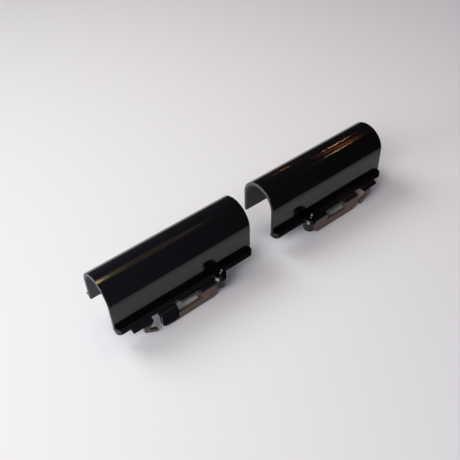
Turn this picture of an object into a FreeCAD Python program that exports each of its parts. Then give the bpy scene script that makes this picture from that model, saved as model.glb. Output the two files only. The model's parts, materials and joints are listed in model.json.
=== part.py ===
"""Pair of laptop hinge covers: two mirror-image mouldings that bridge the hinge barrels of a laptop.

Each cover is an arch, open at both ends, with a foot flange along its front wall. A screw boss stands
in the flange's edge. Outboard of it two ledges carry a skirt with a window and a hook, which hold the
cover down. X runs along the hinge line, Y points to the back and Z up. The origin is midway between
the covers, at the middle of the pair's depth and on the level of its lowest edge.
"""
import math
import os

import FreeCAD
import Part
from FreeCAD import Vector

# Pair
COVER_LENGTH = 59.5
COVER_GAP = 11.1

# Arch, with heights counted from the flange's underside
WALL = 1.3
ARCH_RADIUS = 8.5
SPRING_HEIGHT = 12.2
BACK_FOOT_HEIGHT = 3.2
END_CHAMFER = 0.2

# Foot flange in front of the arch
FLANGE_REACH = 2.1
FLANGE_THICKNESS = 2.3
FLANGE_CORNER = 2.0
FLANGE_LIP_ROUNDING = 0.5

# Screw boss, placed from the cover's inboard end
BOSS_FROM_END = 17.1
BOSS_AHEAD_OF_WALL = 3.0
BOSS_ABOVE_FLANGE = 0.2
BOSS_DEPTH = 3.2
BOSS_WALL = 0.7
BOSS_ROUNDING = 0.35
SCREW_HOLE_DIAMETER = 2.4
SCREW_HEAD_SHOULDER = 0.6
SCREW_HEAD_DEPTH = 1.1

# Tabs ahead of the flange's foot: a ledge bent down into an upright plate, for the skirt and the hook
TAB_THICKNESS = 1.2
TAB_EDGE_ROUNDING = 0.3
LEDGE_REACH = 2.1
LEDGE_RISE = 0.3
LEDGE_OVERLAP = 1.5
BEND_RADIUS = 1.6

# Skirt, from the boss to short of the hook
SKIRT_BAR_HEIGHT = 3.3
SKIRT_OUTER_LEG = 7.1
SKIRT_OUTER_CORNER = 3.0
SKIRT_INNER_CORNER = 3.4
WINDOW_LENGTH = 10.6
WINDOW_DEPTH = 3.8
WINDOW_NOTCH_LENGTH = 2.3
GUSSET_THICKNESS = 2.4
GUSSET_DEPTH = 4.2

# Hook, placed from the cover's outboard end
HOOK_LEDGE_FROM_END = 4.8
HOOK_LEDGE_TAIL = 4.1
HOOK_LEDGE_LIP = 0.5
HOOK_STEM_WIDTH = 2.0
HOOK_STEM_LENGTH = 1.0
HOOK_ROOT_FLARE = 2.2
HOOK_FOOT_LENGTH = 3.1
HOOK_FOOT_HEIGHT = 1.4
HOOK_FOOT_DROP = 1.9
HOOK_TO_SKIRT = 2.8

# Snap ridge on the back wall, at the outboard end
RIDGE_LENGTH = 3.0
RIDGE_REACH = 1.3
RIDGE_HEIGHT = 1.3
RIDGE_ABOVE_FOOT = 0.9

# Places that follow from the sizes above
FLANGE_FRONT = -FLANGE_REACH
TAB_FACE = FLANGE_FRONT - LEDGE_REACH
TAB_BACK = TAB_FACE + TAB_THICKNESS
LEDGE_ROOT = FLANGE_FRONT + LEDGE_OVERLAP
LEDGE_UNDERSIDE = LEDGE_RISE - TAB_THICKNESS
BEND_Y = TAB_FACE + BEND_RADIUS
BEND_Z = LEDGE_RISE - BEND_RADIUS
ARCH_BACK = 2 * ARCH_RADIUS

SCREW_HEAD_DIAMETER = SCREW_HOLE_DIAMETER + 2 * SCREW_HEAD_SHOULDER
BOSS_DIAMETER = SCREW_HEAD_DIAMETER + 2 * BOSS_WALL
BOSS_TOP = FLANGE_THICKNESS + BOSS_ABOVE_FLANGE
BOSS_CENTRE = Vector(BOSS_FROM_END, -BOSS_AHEAD_OF_WALL, 0)

HOOK_LEDGE_END = COVER_LENGTH - HOOK_LEDGE_FROM_END
HOOK_OUTER = HOOK_LEDGE_END - HOOK_LEDGE_TAIL
HOOK_INNER = HOOK_OUTER - HOOK_STEM_WIDTH
HOOK_LEDGE_START = HOOK_INNER - HOOK_ROOT_FLARE
HOOK_DEPTH = HOOK_ROOT_FLARE + HOOK_STEM_LENGTH + HOOK_FOOT_DROP + HOOK_FOOT_HEIGHT

SKIRT_START = BOSS_FROM_END + (SCREW_HOLE_DIAMETER + SCREW_HEAD_SHOULDER) / 2
SKIRT_END = HOOK_LEDGE_START - HOOK_TO_SKIRT
SKIRT_DEPTH = WINDOW_DEPTH + SKIRT_BAR_HEIGHT
WINDOW_RIGHT = SKIRT_END - SKIRT_OUTER_LEG
WINDOW_LEFT = WINDOW_RIGHT - WINDOW_LENGTH

FRONTMOST = min(TAB_FACE, BOSS_CENTRE.y - BOSS_DIAMETER / 2)
REARMOST = ARCH_BACK + RIDGE_REACH
LOWEST = -max(SKIRT_DEPTH, HOOK_DEPTH, BOSS_DEPTH)

RIGHT = Vector(1, 0, 0)
BACK = Vector(0, 1, 0)
UP = Vector(0, 0, 1)
TOUCH = 1e-6


def outline(points):
    """Flat face inside straight edges between the points."""
    return Part.Face(Part.makePolygon(points + points[:1]))


def face_from(edges):
    """Flat face inside a closed run of edges."""
    return Part.Face(Part.Wire(Part.__sortEdges__(edges)))


def block(low, high):
    """Box between two opposite corners."""
    size = high.sub(low)
    return Part.makeBox(size.x, size.y, size.z, low)


def rounded(shape, radius, test):
    """Shape with those edges rounded whose bounding box passes the test."""
    return shape.makeFillet(radius, [edge for edge in shape.Edges if test(edge.BoundBox)])


def arch_shell():
    """Front wall, half-round top and back wall, as one profile drawn out along the hinge line."""

    def at(y, z):
        return Vector(0, y, z)

    bore_radius = ARCH_RADIUS - WALL
    inner_back = ARCH_BACK - WALL
    front_wall = [at(0, SPRING_HEIGHT), at(0, 0), at(WALL, 0), at(WALL, SPRING_HEIGHT)]
    back_wall = [
        at(inner_back, SPRING_HEIGHT), at(inner_back, BACK_FOOT_HEIGHT),
        at(ARCH_BACK, BACK_FOOT_HEIGHT), at(ARCH_BACK, SPRING_HEIGHT),
    ]
    inner_crown = at(ARCH_RADIUS, SPRING_HEIGHT + bore_radius)
    outer_crown = at(ARCH_RADIUS, SPRING_HEIGHT + ARCH_RADIUS)
    edges = [Part.makeLine(a, b) for wall in (front_wall, back_wall) for a, b in zip(wall, wall[1:])]
    edges.append(Part.Arc(front_wall[-1], inner_crown, back_wall[0]).toShape())
    edges.append(Part.Arc(back_wall[-1], outer_crown, front_wall[0]).toShape())
    shell = face_from(edges).extrude(RIGHT * COVER_LENGTH)

    def on_open_end(box):
        return box.XLength < TOUCH and box.ZMax > FLANGE_THICKNESS and box.DiagonalLength > WALL + TOUCH

    rims = [edge for edge in shell.Edges if on_open_end(edge.BoundBox)]
    return shell.makeChamfer(min(END_CHAMFER, WALL / 3), rims)


def foot_flange():
    """Flat foot with rounded front corners and a soft lip."""
    plate = block(Vector(0, FLANGE_FRONT, 0), Vector(COVER_LENGTH, WALL, FLANGE_THICKNESS))

    def is_front_corner(box):
        return box.YMax < FLANGE_FRONT + TOUCH and box.XLength < TOUCH

    def is_lip(box):
        return box.ZMin > FLANGE_THICKNESS - TOUCH and box.YMin < WALL - TOUCH

    plate = rounded(plate, min(FLANGE_CORNER, FLANGE_REACH), is_front_corner)
    return rounded(plate, min(FLANGE_LIP_ROUNDING, FLANGE_THICKNESS / 2), is_lip)


def screw_boss():
    """Round boss through the flange's front edge."""
    boss = Part.makeCylinder(BOSS_DIAMETER / 2, BOSS_TOP + BOSS_DEPTH, BOSS_CENTRE - UP * BOSS_DEPTH)

    def is_rim(box):
        return box.ZMin > BOSS_TOP - TOUCH

    return rounded(boss, min(BOSS_ROUNDING, BOSS_WALL / 2), is_rim)


def screw_passage():
    """Way of the screw through the boss, with a seat for its head."""
    foot = BOSS_CENTRE - UP * BOSS_DEPTH
    seat = BOSS_CENTRE + UP * (BOSS_TOP - SCREW_HEAD_DEPTH)
    shank = Part.makeCylinder(SCREW_HOLE_DIAMETER / 2, BOSS_TOP + BOSS_DEPTH, foot)
    head = Part.makeCylinder(SCREW_HEAD_DIAMETER / 2, SCREW_HEAD_DEPTH, seat)
    return shank.fuse(head)


def bent_tab(start, end, depth):
    """Ledge from the flange's foot to the front, bent down there into an upright plate."""

    def at(y, z):
        return Vector(start, y, z)

    def bend(radius):
        diagonal = radius * math.sqrt(0.5)
        middle = at(BEND_Y - diagonal, BEND_Z + diagonal)
        return Part.Arc(at(BEND_Y, BEND_Z + radius), middle, at(BEND_Y - radius, BEND_Z)).toShape()

    ledge = [
        at(BEND_Y, LEDGE_RISE), at(LEDGE_ROOT, LEDGE_RISE),
        at(LEDGE_ROOT, LEDGE_UNDERSIDE), at(BEND_Y, LEDGE_UNDERSIDE),
    ]
    plate = [at(TAB_FACE, BEND_Z), at(TAB_FACE, -depth), at(TAB_BACK, -depth), at(TAB_BACK, BEND_Z)]
    edges = [Part.makeLine(a, b) for run in (ledge, plate) for a, b in zip(run, run[1:])]
    edges += [bend(BEND_RADIUS), bend(BEND_RADIUS - TAB_THICKNESS)]
    return face_from(edges).extrude(RIGHT * (end - start))


def soften_face(tab):
    """Tab with the edges around its upright face rounded, also where they run on round the bend."""

    def on_face(box):
        return box.YMax < TAB_FACE + TOUCH and box.ZMin < BEND_Z - TOUCH

    return rounded(tab, min(TAB_EDGE_ROUNDING, TAB_THICKNESS / 3), on_face)


def skirt():
    """Skirt with rounded lower corners, a window that cuts into its ledge, and a web at each end of it."""
    low = Vector(SKIRT_START, TAB_FACE, -SKIRT_DEPTH)
    high = Vector(SKIRT_END, LEDGE_ROOT, LEDGE_RISE)

    def lower_corner(x):
        return lambda box: box.YLength > TOUCH and box.ZMax < low.z + TOUCH and abs(box.XMax - x) < TOUCH

    front = rounded(block(low, high), SKIRT_INNER_CORNER, lower_corner(SKIRT_START))
    front = rounded(front, SKIRT_OUTER_CORNER, lower_corner(SKIRT_END))
    plate = soften_face(bent_tab(SKIRT_START, SKIRT_END, SKIRT_DEPTH).common(front))

    notch_left = WINDOW_RIGHT - min(WINDOW_NOTCH_LENGTH, WINDOW_LENGTH)
    sill = Vector(WINDOW_LEFT, TAB_FACE, -WINDOW_DEPTH)
    window = block(sill, Vector(WINDOW_RIGHT, TAB_BACK, LEDGE_RISE))
    notch = block(Vector(notch_left, sill.y, sill.z), Vector(WINDOW_RIGHT, FLANGE_FRONT, LEDGE_RISE))
    gussets = [gusset(WINDOW_LEFT - GUSSET_THICKNESS / 2), gusset(WINDOW_RIGHT)]
    return [plate.cut(window).cut(notch)] + gussets


def gusset(x):
    """Three-cornered web from the flange's underside to the skirt's back."""
    web = [(TAB_BACK, -GUSSET_DEPTH), (TAB_BACK, LEDGE_UNDERSIDE), (LEDGE_ROOT, LEDGE_UNDERSIDE)]
    web += [(LEDGE_ROOT, 0), (WALL, 0)]
    return outline([Vector(x, y, z) for y, z in web]).extrude(RIGHT * GUSSET_THICKNESS)


def hook():
    """Hook with a flared root and a foot that slopes down and inboard, on a ledge of its own."""
    slope = HOOK_FOOT_DROP / HOOK_FOOT_LENGTH
    toe = HOOK_INNER - HOOK_FOOT_LENGTH
    throat = -HOOK_ROOT_FLARE - HOOK_STEM_LENGTH
    heel = throat - HOOK_FOOT_HEIGHT + slope * HOOK_STEM_WIDTH
    edge = [
        (HOOK_LEDGE_START, LEDGE_RISE), (HOOK_LEDGE_END, LEDGE_RISE),
        (HOOK_LEDGE_END, -HOOK_LEDGE_LIP), (HOOK_OUTER, -HOOK_LEDGE_LIP), (HOOK_OUTER, heel),
        (toe, -HOOK_DEPTH), (toe, throat - HOOK_FOOT_DROP), (HOOK_INNER, throat),
        (HOOK_INNER, -HOOK_ROOT_FLARE), (HOOK_LEDGE_START, 0),
    ]
    front = outline([Vector(x, TAB_FACE, z) for x, z in edge]).extrude(BACK * (LEDGE_ROOT - TAB_FACE))
    return bent_tab(toe, HOOK_LEDGE_END, HOOK_DEPTH).common(front)


def snap_ridge():
    """Wedge on the outside of the back wall."""
    foot = BACK_FOOT_HEIGHT + RIDGE_ABOVE_FOOT
    root = ARCH_BACK - WALL / 2
    tip = ARCH_BACK + RIDGE_REACH
    section = [(root, foot), (tip, foot), (tip, foot + RIDGE_HEIGHT / 2)]
    section += [(ARCH_BACK, foot + RIDGE_HEIGHT), (root, foot + RIDGE_HEIGHT)]
    left = COVER_LENGTH - RIDGE_LENGTH
    return outline([Vector(left, y, z) for y, z in section]).extrude(RIGHT * RIDGE_LENGTH)


def cover():
    """One cover, with its inboard end at X = 0 and the flange's underside at Z = 0."""
    pieces = [foot_flange(), screw_boss()] + skirt() + [hook(), snap_ridge()]
    return arch_shell().fuse(pieces).cut(screw_passage()).removeSplitter()


def main():
    os.makedirs("parts", exist_ok=True)
    right = cover()
    right.translate(Vector(COVER_GAP / 2, -(FRONTMOST + REARMOST) / 2, -LOWEST))
    left = right.mirror(Vector(0, 0, 0), RIGHT)
    for name, solid in (("left_hinge_cover", left), ("right_hinge_cover", right)):
        print(name, "solids", len(solid.Solids), "valid", solid.isValid(), "volume", round(solid.Volume, 2))
        solid.exportStep(f"parts/{name}.step")


main()
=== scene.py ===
"""Looks of a pair of laptop hinge covers: an add-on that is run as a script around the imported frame."""
import json
import math

import bpy
from mathutils import Matrix, Vector


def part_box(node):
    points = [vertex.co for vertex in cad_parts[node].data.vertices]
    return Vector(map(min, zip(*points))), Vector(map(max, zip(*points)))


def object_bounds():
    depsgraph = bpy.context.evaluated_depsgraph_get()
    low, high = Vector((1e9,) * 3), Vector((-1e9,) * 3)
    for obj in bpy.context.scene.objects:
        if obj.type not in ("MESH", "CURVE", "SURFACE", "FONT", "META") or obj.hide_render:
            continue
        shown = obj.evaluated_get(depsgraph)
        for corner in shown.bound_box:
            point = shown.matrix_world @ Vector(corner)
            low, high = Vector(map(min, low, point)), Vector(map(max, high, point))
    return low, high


bl_info = {
    "name": "Laptop hinge covers",
    "version": (1, 0, 0),
    "blender": (4, 5, 0),
    "location": "3D View > Sidebar > Hinge covers",
    "description": "Finishes a pair of packed laptop hinge covers and sets a studio around them",
    "category": "Object",
}

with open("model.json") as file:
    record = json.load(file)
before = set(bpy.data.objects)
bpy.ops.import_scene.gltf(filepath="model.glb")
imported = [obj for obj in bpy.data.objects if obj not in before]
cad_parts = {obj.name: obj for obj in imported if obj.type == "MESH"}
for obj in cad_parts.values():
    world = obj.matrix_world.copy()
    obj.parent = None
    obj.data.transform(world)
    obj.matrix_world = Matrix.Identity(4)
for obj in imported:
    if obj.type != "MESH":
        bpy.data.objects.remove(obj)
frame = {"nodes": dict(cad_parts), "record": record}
CAD_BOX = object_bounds()
COVERS = sorted(frame["nodes"])
CROWN_HEIGHT = max(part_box(name)[1].z for name in COVERS)
MOUNTS = {mount["name"]: Vector(mount["pos_m"]) for mount in frame["record"]["mounts"]}
BOSS_AXIS = MOUNTS["right_screw_hole"]
SEAT_HEIGHT = MOUNTS["right_flange_seat"].z

MM = 0.001
MIDDLE = (CAD_BOX[0] + CAD_BOX[1]) / 2
DOWN = Vector((0.0, 0.0, -1.0))
WHITE = (1.0, 1.0, 1.0)

# Where soft masks start and end: on faces that look along X or Y, on bent edges and on smears
END_ON = (0.55, 0.7)
UPRIGHT = (0.1, 0.5)
EDGE_BEND = (0.01, 0.25)
SMEAR_SPAN = (0.42, 0.72)

# Heights of the leaning shading, from the spring height, the crown and the seat
SHOULDER_RISE = (-5.0 * MM, 1.0 * MM)
SHOULDER_FADE = (-1.2 * MM, -5.5 * MM)
NOSE_RISE = (0.1 * MM, 0.9 * MM)

# Edges of the paint on the tabs: how they wander and how soft they are, and how much thin paint covers
PAINT_BLOTS = 700.0
PAINT_WANDER = 3 * MM
UPRIGHT_WANDER = 0.4
PAINT_SOFTNESS = 0.3 * MM
FOOT_SOFTNESS = 0.2 * MM
THIN_PAINT = 0.6

# How far the masks reach past the walls (as a share of one), the seat and the flanges' front
WALL_MARGIN = 0.1
LEDGE_MARGIN = 0.35 * MM
SEAT_MARGIN = 0.05 * MM
NOSE_MARGIN = 0.2 * MM

# Tones against the plain colour: low grain, low smears, worn edges and the floor's low grain
GRAIN_SHADE = 0.8
SMEAR_SHADE = 0.75
EDGE_WEAR = 1.8
PAPER_SHADE = 0.985
SPECK_STRENGTH = 0.5

PAPER_ROUGHNESS = 0.9
PAPER_SPECULAR = 0.1
BEVEL_SAMPLES = 6
ROOM_TURN = (-0.5, 0.75)
CAMERA_CLIP = 10 * MM

# Small lamps that draw streaks along the arches: place, facing (None for the middle of the covers), size
# across and along, power in watts and colour
STREAK_LAMPS = {
    "front_streak_lamp": (Vector((0.346, -0.052, 0.421)), None, 0.016, 0.004, 0.022, (1.0, 0.60, 0.32)),
    "back_streak_lamp": (Vector((0.345, 0.205, 0.370)), None, 0.016, 0.004, 0.022, (1.0, 0.58, 0.30)),
    "ember_lamp": (Vector((0.343, 0.060, 0.408)), None, 0.180, 0.014, 0.020, (1.0, 0.22, 0.03)),
    "far_streak_lamp": (Vector((0.285, 0.360, 0.253)), None, 0.012, 0.004, 0.008, (1.0, 0.35, 0.12)),
    "faint_streak_lamp": (Vector((0.100, 0.095, 0.500)), DOWN, 0.180, 0.240, 0.034, (1.0, 0.64, 0.38)),
    "spot_lamp": (Vector((0.040, 0.104, 0.505)), DOWN, 0.012, 0.160, 0.090, (1.0, 0.80, 0.38)),
}


def feed(tree, value, socket):
    """Link an output to the socket, or set the socket to a plain value."""
    if isinstance(value, bpy.types.NodeSocket):
        tree.links.new(value, socket)
    else:
        socket.default_value = value


def put(tree, kind, inputs=None, **settings):
    """Add a node with its settings, and feed its inputs."""
    node = tree.nodes.new(kind)
    for name, value in settings.items():
        setattr(node, name, value)
    for key, value in (inputs or {}).items():
        feed(tree, value, node.inputs[key])
    return node


def maths(tree, operation, *values):
    """Result of a Math node."""
    return put(tree, "ShaderNodeMath", dict(enumerate(values)), operation=operation).outputs[0]


def step(tree, value, low, high):
    """Soft step from 0 at low to 1 at high."""
    inputs = {"Value": value, "From Min": low, "From Max": high}
    return put(tree, "ShaderNodeMapRange", inputs, interpolation_type="SMOOTHSTEP").outputs[0]


def mix_values(tree, factor, first, second):
    """Value between two values."""
    return put(tree, "ShaderNodeMix", {0: factor, 2: first, 3: second}).outputs[0]


def mix_colours(tree, factor, first, second):
    """Colour between two colours."""
    return put(tree, "ShaderNodeMix", {0: factor, 6: first, 7: second}, data_type="RGBA").outputs[2]


def split(tree, vector):
    """X, Y and Z outputs of a vector."""
    return put(tree, "ShaderNodeSeparateXYZ", {0: vector}).outputs


def diagonal(tree, first, second):
    """Length of the diagonal over two sides."""
    squares = [maths(tree, "POWER", side, 2) for side in (first, second)]
    return maths(tree, "SQRT", maths(tree, "ADD", *squares))


def opaque(colour):
    """Colour with full alpha, as a colour socket takes it."""
    return (*colour, 1.0)


def new_group(name, inputs, outputs):
    """Empty shader group with its named sockets: the tree, what it takes in and where its results go."""
    tree = bpy.data.node_groups.new(name, "ShaderNodeTree")
    for label, default in inputs.items():
        socket = tree.interface.new_socket(label, in_out="INPUT", socket_type="NodeSocketFloat")
        socket.default_value = default
    for label, kind in outputs.items():
        tree.interface.new_socket(label, in_out="OUTPUT", socket_type=kind)
    return tree, tree.nodes.new("NodeGroupInput").outputs, tree.nodes.new("NodeGroupOutput").inputs


def use_group(tree, group, inputs=None):
    """Outputs of a group placed in a material with its own values."""
    node = put(tree, "ShaderNodeGroup", node_tree=group)
    for key, value in (inputs or {}).items():
        feed(tree, value, node.inputs[key])
    return node.outputs


def object_place(tree):
    """Place on the object, in metres."""
    return tree.nodes.new("ShaderNodeTexCoord").outputs["Object"]


def mesh_facing(tree):
    """Direction that the mesh itself faces, before any softening."""
    return split(tree, tree.nodes.new("ShaderNodeNewGeometry").outputs["True Normal"])


def noise(tree, size, **inputs):
    """Noise over the object, with waves of a size."""
    scale = maths(tree, "DIVIDE", 1.0, size)
    inputs = {"Vector": object_place(tree), "Scale": scale, **inputs}
    return put(tree, "ShaderNodeTexNoise", inputs).outputs[0]


def sides_group():
    """Masks for the bare inside of an arch and for a painted highlight on the rims of its open ends, which
    grows lighter towards the back.
    """
    tree, given, result = new_group(
        "Arch sides",
        {"Axis Y": 0.0, "Spring height": 0.0, "Mid wall": 0.0, "Outside": 0.0, "Rim dark": 0.0,
         "Rim light": 0.0},
        {"Inside": "NodeSocketFloat", "Rim": "NodeSocketFloat"},
    )
    place = split(tree, object_place(tree))
    facing = mesh_facing(tree)
    across = maths(tree, "SUBTRACT", place["Y"], given["Axis Y"])
    rise = maths(tree, "MAXIMUM", maths(tree, "SUBTRACT", place["Z"], given["Spring height"]), 0.0)
    radius = diagonal(tree, across, rise)
    feed(tree, maths(tree, "LESS_THAN", radius, given["Mid wall"]), result["Inside"])
    # Rim mask for a painted highlight: faces that look along X within the wall, dark at the front and light
    # from near the axis backwards
    end_on = step(tree, maths(tree, "ABSOLUTE", facing["X"]), *END_ON)
    in_wall = maths(tree, "LESS_THAN", radius, given["Outside"])
    back = step(tree, across, given["Rim dark"], given["Rim light"])
    feed(tree, maths(tree, "MULTIPLY", maths(tree, "MULTIPLY", end_on, in_wall), back), result["Rim"])
    return tree


def tabs_group():
    """Masks for the bare tabs under the flange, and for the paint that covers some of them."""
    tree, given, result = new_group(
        "Foot tabs",
        {"Flange front": 0.0, "Ledge height": 0.0, "Seat height": 0.0, "Boss X": 0.0, "Boss Y": 0.0,
         "Boss radius": 0.0, "Bare top": 0.0, "Paint edge": 0.0, "Paint end": 0.0, "Paint foot": 0.0},
        {"Tab": "NodeSocketFloat", "Paint": "NodeSocketFloat", "Leg": "NodeSocketFloat"},
    )
    whole = object_place(tree)
    place = split(tree, whole)
    ahead = maths(tree, "LESS_THAN", place["Y"], given["Flange front"])
    on_ledge = maths(tree, "MULTIPLY", maths(tree, "LESS_THAN", place["Z"], given["Ledge height"]), ahead)
    low = maths(tree, "MAXIMUM", on_ledge, maths(tree, "LESS_THAN", place["Z"], given["Seat height"]))
    off_x = maths(tree, "SUBTRACT", maths(tree, "ABSOLUTE", place["X"]), given["Boss X"])
    off_y = maths(tree, "SUBTRACT", place["Y"], given["Boss Y"])
    off_boss = maths(tree, "GREATER_THAN", diagonal(tree, off_x, off_y), given["Boss radius"])
    feed(tree, maths(tree, "MULTIPLY", low, off_boss), result["Tab"])
    blots = put(tree, "ShaderNodeTexNoise", {"Vector": whole, "Scale": PAINT_BLOTS, "Detail": 3.0}).outputs[0]
    wander = maths(tree, "MULTIPLY", maths(tree, "SUBTRACT", blots, 0.5), PAINT_WANDER)
    side = maths(tree, "ADD", place["X"], wander)
    height = maths(tree, "ADD", place["Z"], maths(tree, "MULTIPLY", wander, UPRIGHT_WANDER))
    past = step(tree, maths(tree, "SUBTRACT", side, given["Paint edge"]), PAINT_SOFTNESS, -PAINT_SOFTNESS)
    thin = step(tree, maths(tree, "SUBTRACT", side, given["Paint end"]), PAINT_SOFTNESS, -PAINT_SOFTNESS)
    feed(tree, maths(tree, "MULTIPLY", past, maths(tree, "SUBTRACT", 1.0, thin)), result["Leg"])
    coat = maths(tree, "MULTIPLY", past, mix_values(tree, thin, 1.0, THIN_PAINT))
    over_foot = maths(tree, "SUBTRACT", height, given["Paint foot"])
    above_foot = step(tree, over_foot, -FOOT_SOFTNESS, FOOT_SOFTNESS)
    over_bare = maths(tree, "SUBTRACT", height, given["Bare top"])
    on_top = step(tree, over_bare, -PAINT_SOFTNESS, PAINT_SOFTNESS)
    feed(tree, maths(tree, "MAXIMUM", maths(tree, "MULTIPLY", coat, above_foot), on_top), result["Paint"])
    return tree


def lean_group():
    """How far shading leans up: a soft shoulder on the walls, and a round nose on the flange."""
    tree, given, result = new_group(
        "Moulded lean",
        {"Spring height": 0.0, "Crown height": 0.0, "Shoulder": 0.0, "Seat height": 0.0, "Flange front": 0.0,
         "Nose": 0.0},
        {"Lean": "NodeSocketFloat"},
    )
    place = split(tree, object_place(tree))
    facing = mesh_facing(tree)
    upright = step(tree, maths(tree, "ABSOLUTE", facing["Y"]), *UPRIGHT)
    above = maths(tree, "SUBTRACT", place["Z"], given["Spring height"])
    start = step(tree, above, *SHOULDER_RISE)
    end = step(tree, maths(tree, "SUBTRACT", place["Z"], given["Crown height"]), *SHOULDER_FADE)
    wall = maths(tree, "MULTIPLY", maths(tree, "MULTIPLY", start, end), given["Shoulder"])
    ahead = maths(tree, "LESS_THAN", place["Y"], given["Flange front"])
    over_seat = step(tree, maths(tree, "SUBTRACT", place["Z"], given["Seat height"]), *NOSE_RISE)
    nose = maths(tree, "MULTIPLY", maths(tree, "MULTIPLY", ahead, over_seat), given["Nose"])
    feed(tree, maths(tree, "MULTIPLY", maths(tree, "ADD", wall, nose), upright), result["Lean"])
    return tree


def edges_group():
    """Normals rounded over at the edges, and a mask of those edges."""
    tree, given, result = new_group(
        "Soft edges", {"Radius": 0.0002}, {"Normal": "NodeSocketVector", "Edge": "NodeSocketFloat"}
    )
    bevel = put(tree, "ShaderNodeBevel", {"Radius": given["Radius"]}, samples=BEVEL_SAMPLES).outputs[0]
    flat = tree.nodes.new("ShaderNodeNewGeometry").outputs["Normal"]
    dot = put(tree, "ShaderNodeVectorMath", {0: bevel, 1: flat}, operation="DOT_PRODUCT").outputs["Value"]
    feed(tree, bevel, result["Normal"])
    feed(tree, step(tree, maths(tree, "SUBTRACT", 1.0, dot), *EDGE_BEND), result["Edge"])
    return tree


def grain_group():
    """Fine grain of a matte mould face or of paper, as heights from 0 to 1."""
    tree, given, result = new_group("Fine grain", {"Grain size": 0.0003}, {"Height": "NodeSocketFloat"})
    feed(tree, noise(tree, given["Grain size"], Detail=3.0, Roughness=0.6), result["Height"])
    return tree


def marks_group():
    """Marks of handling: broad smears and sparse specks of dust."""
    tree, given, result = new_group(
        "Handling marks",
        {"Smear size": 0.012, "Speck spacing": 0.004, "Speck size": 0.02},
        {"Smear": "NodeSocketFloat", "Speck": "NodeSocketFloat"},
    )
    smear = noise(tree, given["Smear size"], Detail=4.0, Roughness=0.55, Distortion=0.6)
    feed(tree, step(tree, smear, *SMEAR_SPAN), result["Smear"])
    scale = maths(tree, "DIVIDE", 1.0, given["Speck spacing"])
    cells = put(tree, "ShaderNodeTexVoronoi", {"Vector": object_place(tree), "Scale": scale})
    feed(tree, maths(tree, "LESS_THAN", cells.outputs["Distance"], given["Speck size"]), result["Speck"])
    return tree


def ripple_group():
    """Shallow waves of a lacquered moulding, as heights from 0 to 1."""
    tree, given, result = new_group("Lacquer ripple", {"Wave size": 0.006}, {"Height": "NodeSocketFloat"})
    feed(tree, noise(tree, given["Wave size"], Detail=1.0, Roughness=0.4), result["Height"])
    return tree


GROUP_MAKERS = {
    "Arch sides": sides_group,
    "Foot tabs": tabs_group,
    "Moulded lean": lean_group,
    "Soft edges": edges_group,
    "Fine grain": grain_group,
    "Handling marks": marks_group,
    "Lacquer ripple": ripple_group,
}


def shared_group(name):
    """A shader group by its name, made the first time it is asked for."""
    return bpy.data.node_groups.get(name) or GROUP_MAKERS[name]()


def new_material(name):
    """Material with only a Principled shader, with its tree and that shader's inputs."""
    material = bpy.data.materials.new(name)
    material.use_nodes = True
    tree = material.node_tree
    return material, tree, tree.nodes["Principled BSDF"].inputs


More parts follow.
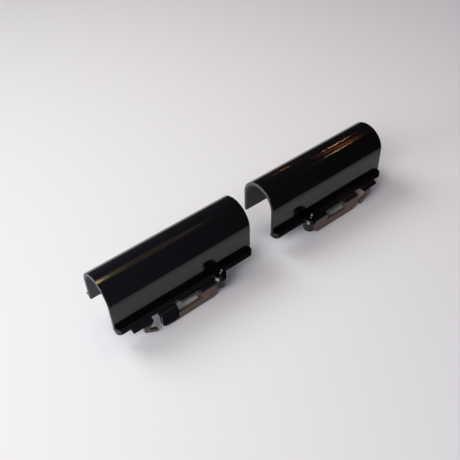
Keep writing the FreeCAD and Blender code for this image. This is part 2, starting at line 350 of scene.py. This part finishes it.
def cover_material(look):
    """Gloss black lacquer outside, bare matte plastic inside, a painted highlight on the end rims and partly
    painted tabs.
    """
    material, tree, shader = new_material("gloss_black_cover")
    sides = use_group(tree, shared_group("Arch sides"), {
        "Axis Y": look.axis_y,
        "Spring height": CROWN_HEIGHT - look.arch_radius,
        "Mid wall": look.arch_radius - look.wall / 2,
        "Outside": look.arch_radius + look.wall * WALL_MARGIN,
        # The painted rim highlight starts this far before the arches' axis and is at full strength halfway
        # there
        "Rim dark": -look.rim_highlight_fade,
        "Rim light": -look.rim_highlight_fade / 2,
    })
    tabs = use_group(tree, shared_group("Foot tabs"), {
        "Flange front": look.flange_front,
        "Ledge height": SEAT_HEIGHT + LEDGE_MARGIN,
        "Seat height": SEAT_HEIGHT - SEAT_MARGIN,
        "Boss X": BOSS_AXIS.x,
        "Boss Y": BOSS_AXIS.y,
        "Boss radius": look.boss_radius,
        "Bare top": look.bare_top,
        "Paint edge": look.paint_edge,
        "Paint end": look.paint_end,
        "Paint foot": look.paint_foot,
    })
    lean = use_group(tree, shared_group("Moulded lean"), {
        "Spring height": CROWN_HEIGHT - look.arch_radius,
        "Crown height": CROWN_HEIGHT,
        "Shoulder": math.tan(look.shoulder_lean),
        "Seat height": SEAT_HEIGHT,
        "Flange front": look.flange_front + NOSE_MARGIN,
        "Nose": math.tan(look.nose_lean),
    })["Lean"]
    edges = use_group(tree, shared_group("Soft edges"), {"Radius": look.edge_radius})
    marks = use_group(tree, shared_group("Handling marks"), {"Smear size": look.smear_size})
    ripple = use_group(tree, shared_group("Lacquer ripple"), {"Wave size": look.ripple_size})["Height"]
    grain = use_group(tree, shared_group("Fine grain"), {"Grain size": look.grain_size})["Height"]

    unpainted = maths(tree, "MULTIPLY", tabs["Tab"], maths(tree, "SUBTRACT", 1.0, tabs["Paint"]))
    bare = maths(tree, "MAXIMUM", maths(tree, "MAXIMUM", sides["Inside"], sides["Rim"]), unpainted)
    inside_low = opaque(c * GRAIN_SHADE for c in look.bare_colour)
    inside_tone = mix_colours(tree, grain, inside_low, opaque(look.bare_colour))
    plain = mix_colours(tree, sides["Inside"], opaque(look.lacquer_colour), inside_tone)
    # Painted highlight: the end rims take a lighter colour over the crown and back, where a bright lamp would
    # show in them
    rim = mix_colours(tree, sides["Rim"], plain, opaque(look.rim_highlight_colour))
    tab_low = opaque(c * SMEAR_SHADE for c in look.tab_colour)
    tab_tone = mix_colours(tree, marks["Smear"], tab_low, opaque(look.tab_colour))
    tab_worn = opaque(min(c * EDGE_WEAR, 1.0) for c in look.tab_colour)
    worn_tone = mix_colours(tree, edges["Edge"], tab_tone, tab_worn)
    # Base colour with the painted rim highlight, and the bare tabs with their worn edges
    highlit = mix_colours(tree, unpainted, rim, worn_tone)
    speck = maths(tree, "MULTIPLY", marks["Speck"], SPECK_STRENGTH)
    feed(tree, mix_colours(tree, speck, highlit, opaque(look.dust_colour)), shader["Base Color"])

    gloss = mix_values(tree, marks["Smear"], look.lacquer_roughness, look.smear_roughness)
    worn = mix_values(tree, edges["Edge"], gloss, look.smear_roughness)
    feed(tree, mix_values(tree, bare, worn, look.bare_roughness), shader["Roughness"])

    waves = maths(tree, "MULTIPLY", ripple, look.ripple_height)
    pits = maths(tree, "MULTIPLY", grain, look.grain_height)
    height = mix_values(tree, bare, waves, pits)
    wall_lean = maths(tree, "MULTIPLY", lean, maths(tree, "SUBTRACT", 1.0, sides["Inside"]))
    painted = maths(tree, "MULTIPLY", tabs["Tab"], tabs["Paint"])
    on_leg = maths(tree, "MULTIPLY", painted, tabs["Leg"])
    leg_lean = maths(tree, "MULTIPLY", on_leg, math.tan(look.nose_lean))
    upward = put(tree, "ShaderNodeCombineXYZ", {"Z": maths(tree, "ADD", wall_lean, leg_lean)}).outputs[0]
    leaning = put(tree, "ShaderNodeVectorMath", {0: edges["Normal"], 1: upward}, operation="ADD").outputs[0]
    normal = put(tree, "ShaderNodeVectorMath", {0: leaning}, operation="NORMALIZE").outputs[0]
    bump = put(tree, "ShaderNodeBump", {"Height": height, "Distance": 1.0, "Normal": normal})
    feed(tree, bump.outputs[0], shader["Normal"])
    shader["IOR"].default_value = look.lacquer_ior
    return material


def floor_material(stage):
    """Pale matte paper."""
    material, tree, shader = new_material("pale_floor")
    grain = use_group(tree, shared_group("Fine grain"), {"Grain size": stage.paper_grain})["Height"]
    shade = opaque(c * PAPER_SHADE for c in stage.floor_colour)
    feed(tree, mix_colours(tree, grain, shade, opaque(stage.floor_colour)), shader["Base Color"])
    shader["Roughness"].default_value = PAPER_ROUGHNESS
    shader["Specular IOR Level"].default_value = PAPER_SPECULAR
    return material


def length(name, description, default, **more):
    """Length in metres, as the panel shows it."""
    return bpy.props.FloatProperty(
        name=name, description=description, default=default, unit="LENGTH", precision=5, **more
    )


def angle(name, description, degrees):
    """Angle, given here in degrees."""
    return bpy.props.FloatProperty(
        name=name, description=description, default=math.radians(degrees), unit="ROTATION", subtype="ANGLE"
    )


def share(name, description, default):
    """Number from 0 to 1."""
    return bpy.props.FloatProperty(
        name=name, description=description, default=default, min=0.0, max=1.0, subtype="FACTOR"
    )


def colour(name, description, default):
    """Linear colour."""
    return bpy.props.FloatVectorProperty(
        name=name, description=description, default=default, min=0.0, max=1.0, subtype="COLOR"
    )


def power(name, description, default):
    """Lamp power in watts."""
    return bpy.props.FloatProperty(
        name=name, description=description, default=default, min=0.0, subtype="POWER"
    )


def position(name, description, default):
    """Place in metres."""
    return bpy.props.FloatVectorProperty(
        name=name, description=description, default=default, subtype="TRANSLATION", unit="LENGTH", precision=5
    )


class CoverLook(bpy.types.PropertyGroup):
    """Finish of the covers"""

    axis_y: length("Arch axis", "Place of the arches' axis along Y", 2.1 * MM)
    arch_radius: length("Arch radius", "Outside radius of the arches", 8.5 * MM)
    wall: length("Wall", "Thickness of the arches' walls", 1.3 * MM)
    edge_radius: length("Edge radius", "Rounding that shows at the edges", 0.15 * MM)
    shoulder_lean: angle("Shoulder", "How far the walls' shading leans back below the arch", 15)
    nose_lean: angle("Nose", "How far the shading of the flanges' front edge leans back", 45)
    lacquer_colour: colour("Lacquer", "Colour of the gloss outside", (0.0022, 0.0020, 0.0026))
    lacquer_roughness: share("Lacquer roughness", "Roughness of clean lacquer", 0.10)
    lacquer_ior: bpy.props.FloatProperty(
        name="Lacquer index", description="Index of refraction, which sets the gloss", default=1.5, min=1.0,
        max=2.0,
    )
    smear_roughness: share("Smear roughness", "Roughness of smeared lacquer", 0.14)
    smear_size: length("Smear size", "Width of a smear", 14 * MM)
    ripple_size: length("Ripple size", "Width of a wave in the lacquer", 7 * MM)
    ripple_height: length("Ripple height", "Height of a wave in the lacquer", 0.003 * MM)
    bare_colour: colour("Bare plastic", "Colour of the matte inside", (0.046, 0.045, 0.054))
    bare_roughness: share("Bare roughness", "Roughness of the matte inside", 0.5)
    # Painted highlight on the end rims, lighter over the crown and back, and how far before the axis it fades
    # out
    rim_highlight_colour: colour("Rim highlight", "Colour of the painted highlight on the end rims", (0.072, 0.072, 0.076))
    rim_highlight_fade: length("Rim fade", "How far before the arches' axis the rims turn dark", 5 * MM)
    tab_colour: colour("Tabs", "Colour of the unpainted skirts and hooks", (0.125, 0.078, 0.057))
    flange_front: length("Flange front", "Place of the flanges' front edge along Y", -8.55 * MM)
    boss_radius: length("Boss radius", "Radius of the screw bosses", 2.55 * MM)
    bare_top: length("Bare top", "Height up to which the skirts and hooks are unpainted", 5.9 * MM)
    paint_edge: length("Paint edge", "Place along X where the left skirt's paint starts", -41.8 * MM)
    paint_end: length("Paint end", "Place along X where the left skirt's paint turns thin", -50.5 * MM)
    paint_foot: length("Paint foot", "Height of the worn lower edge of the left skirt's paint", 0.9 * MM)
    grain_size: length("Grain size", "Width of a grain of the matte inside", 0.25 * MM)
    grain_height: length("Grain height", "Height of a grain of the matte inside", 0.012 * MM)
    dust_colour: colour("Dust", "Colour of the dust specks", (0.20, 0.19, 0.18))


class StudioStage(bpy.types.PropertyGroup):
    """Floor, lamps and camera"""

    floor_size: length("Floor size", "Side of the square floor", 6.0)
    floor_drop: length("Floor drop", "Gap that keeps the floor clear of the covers' lowest edges", 0.05 * MM)
    floor_colour: colour("Floor", "Colour of the floor", (0.88, 0.88, 0.88))
    paper_grain: length("Paper grain", "Width of a grain of the floor's paper", 1.2 * MM)
    room_near: colour("Room, lamp side", "Light of the room on the side of the key lamp", (0.29, 0.28, 0.37))
    room_far: colour("Room, far side", "Light of the room on the other side", (0.016, 0.015, 0.015))
    key_place: position("Key place", "Place of the soft key lamp", (-0.18, 0.33, 0.42))
    key_size: length("Key size", "Width of the soft key lamp", 0.34)
    key_power: power("Key power", "Power of the soft key lamp", 0.62)
    key_tint: colour("Key tint", "Colour of the key lamp's light", (1.0, 1.0, 0.97))
    soft_spread: angle("Soft spread", "Angle that the soft lamps' light spreads over", 110)
    side_place: position("Side place", "Place of the low side lamp", (-0.45, 0.03, 0.20))
    side_size: length("Side size", "Width of the low side lamp", 0.2)
    side_power: power("Side power", "Power of the low side lamp", 0.19)
    front_place: position("Front place", "Place of the front lamp", (-0.42, -0.18, 0.36))
    front_size: length("Front size", "Width of the front lamp", 0.3)
    front_power: power("Front power", "Power of the front lamp", 0.48)
    camera_place: position("Camera place", "Place of the camera", (-0.109569, -0.132360, 0.181458))
    camera_heading: angle("Heading", "Direction of view, from +Y towards +X", 36.952)
    camera_pitch: angle("Pitch", "How far the camera looks down", 44.930)
    camera_roll: angle("Roll", "Turn of the picture about the line of sight", -2.312)
    camera_lens: bpy.props.FloatProperty(
        name="Lens", description="Focal length on a 36 mm sensor", default=49.257, min=1.0, unit="CAMERA"
    )


class HINGE_COVERS_OT_finish(bpy.types.Operator):
    """Give both covers their gloss outside, matte inside and a painted highlight on the end rims"""

    bl_idname = "hinge_covers.finish"
    bl_label = "Finish covers"
    bl_options = {"REGISTER", "UNDO"}

    def execute(self, context):
        if not COVERS:
            raise RuntimeError("The packed frame holds no covers")
        material = cover_material(context.scene.cover_look)
        for name in COVERS:
            cover = frame["nodes"][name]
            if not cover.material_slots:
                cover.data.materials.append(material)
            for slot in cover.material_slots:
                slot.material = material
        return {"FINISHED"}


class HINGE_COVERS_OT_stage(bpy.types.Operator):
    """Lay the pale floor, hang the lamps, light the room and set the camera"""

    bl_idname = "hinge_covers.stage"
    bl_label = "Set stage"
    bl_options = {"REGISTER", "UNDO"}

    def execute(self, context):
        stage = context.scene.studio_stage
        lay_floor(context, stage)
        for name, place, size, watts, tint in (
            ("key_lamp", stage.key_place, stage.key_size, stage.key_power, stage.key_tint),
            ("side_lamp", stage.side_place, stage.side_size, stage.side_power, WHITE),
            ("front_lamp", stage.front_place, stage.front_size, stage.front_power, WHITE),
        ):
            lamp = hang_lamp(context, name, Vector(place), MIDDLE, size, size, watts, tint)
            lamp.spread = stage.soft_spread
        for name, (place, facing, across, along, watts, tint) in STREAK_LAMPS.items():
            hang_lamp(context, name, place, place + facing if facing else MIDDLE, across, along, watts, tint)
        light_room(context, stage)
        set_camera(context, stage)
        context.scene.view_settings.view_transform = "Standard"
        return {"FINISHED"}


def lay_floor(context, stage):
    """Square floor just under the covers' lowest edges."""
    half = stage.floor_size / 2
    level = CAD_BOX[0].z - stage.floor_drop
    corners = [(-half, -half, level), (half, -half, level), (half, half, level), (-half, half, level)]
    mesh = bpy.data.meshes.new("floor")
    mesh.from_pydata(corners, [], [(0, 1, 2, 3)])
    mesh.materials.append(floor_material(stage))
    floor = bpy.data.objects.new("floor", mesh)
    context.scene.collection.objects.link(floor)


def hang_lamp(context, name, place, aim_at, across, along, watts, tint):
    """Flat oval lamp at a place, facing a point: its light data."""
    lamp = bpy.data.lights.new(name, "AREA")
    lamp.shape = "ELLIPSE"
    lamp.size = across
    lamp.size_y = along
    lamp.energy = watts
    lamp.color = tint
    holder = bpy.data.objects.new(name, lamp)
    holder.location = place
    holder.rotation_euler = (aim_at - place).to_track_quat("-Z", "Y").to_euler()
    context.scene.collection.objects.link(holder)
    return lamp


def light_room(context, stage):
    """Dim room light that is stronger on the key lamp's side."""
    world = bpy.data.worlds.new("room")
    context.scene.world = world
    world.use_nodes = True
    tree = world.node_tree
    towards = split(tree, tree.nodes.new("ShaderNodeTexCoord").outputs["Generated"])
    far = step(tree, towards["X"], *ROOM_TURN)
    light = mix_colours(tree, far, opaque(stage.room_near), opaque(stage.room_far))
    feed(tree, light, tree.nodes["Background"].inputs["Color"])


def set_camera(context, stage):
    """Camera at the photograph's place and angle."""
    heading, pitch, roll = stage.camera_heading, stage.camera_pitch, stage.camera_roll
    forward = Vector((
        math.sin(heading) * math.cos(pitch), math.cos(heading) * math.cos(pitch), -math.sin(pitch)
    ))
    level = Vector((math.cos(heading), -math.sin(heading), 0.0))
    upright = level.cross(forward)
    right = math.cos(roll) * level + math.sin(roll) * upright
    up = math.cos(roll) * upright - math.sin(roll) * level
    turn = Matrix((right, up, -forward)).transposed()
    data = bpy.data.cameras.new("photo_camera")
    data.lens = stage.camera_lens
    data.clip_start = CAMERA_CLIP
    camera = bpy.data.objects.new("photo_camera", data)
    camera.matrix_world = Matrix.Translation(Vector(stage.camera_place)) @ turn.to_4x4()
    context.scene.collection.objects.link(camera)
    context.scene.camera = camera


class HINGE_COVERS_PT_panel(bpy.types.Panel):
    """Sidebar list of the covers' finish and the stage"""

    bl_label = "Hinge covers"
    bl_space_type = "VIEW_3D"
    bl_region_type = "UI"
    bl_category = "Hinge covers"

    def draw(self, context):
        for settings, operator in (
            (context.scene.cover_look, HINGE_COVERS_OT_finish),
            (context.scene.studio_stage, HINGE_COVERS_OT_stage),
        ):
            column = self.layout.box().column()
            for name in settings.__annotations__:
                column.prop(settings, name)
            column.operator(operator.bl_idname)


CLASSES = (CoverLook, StudioStage, HINGE_COVERS_OT_finish, HINGE_COVERS_OT_stage, HINGE_COVERS_PT_panel)


def register():
    for cls in CLASSES:
        bpy.utils.register_class(cls)
    bpy.types.Scene.cover_look = bpy.props.PointerProperty(type=CoverLook)
    bpy.types.Scene.studio_stage = bpy.props.PointerProperty(type=StudioStage)


def unregister():
    del bpy.types.Scene.studio_stage
    del bpy.types.Scene.cover_look
    for cls in reversed(CLASSES):
        bpy.utils.unregister_class(cls)


def main():
    register()
    bpy.ops.hinge_covers.finish()
    bpy.ops.hinge_covers.stage()


if __name__ == "__main__":
    main()
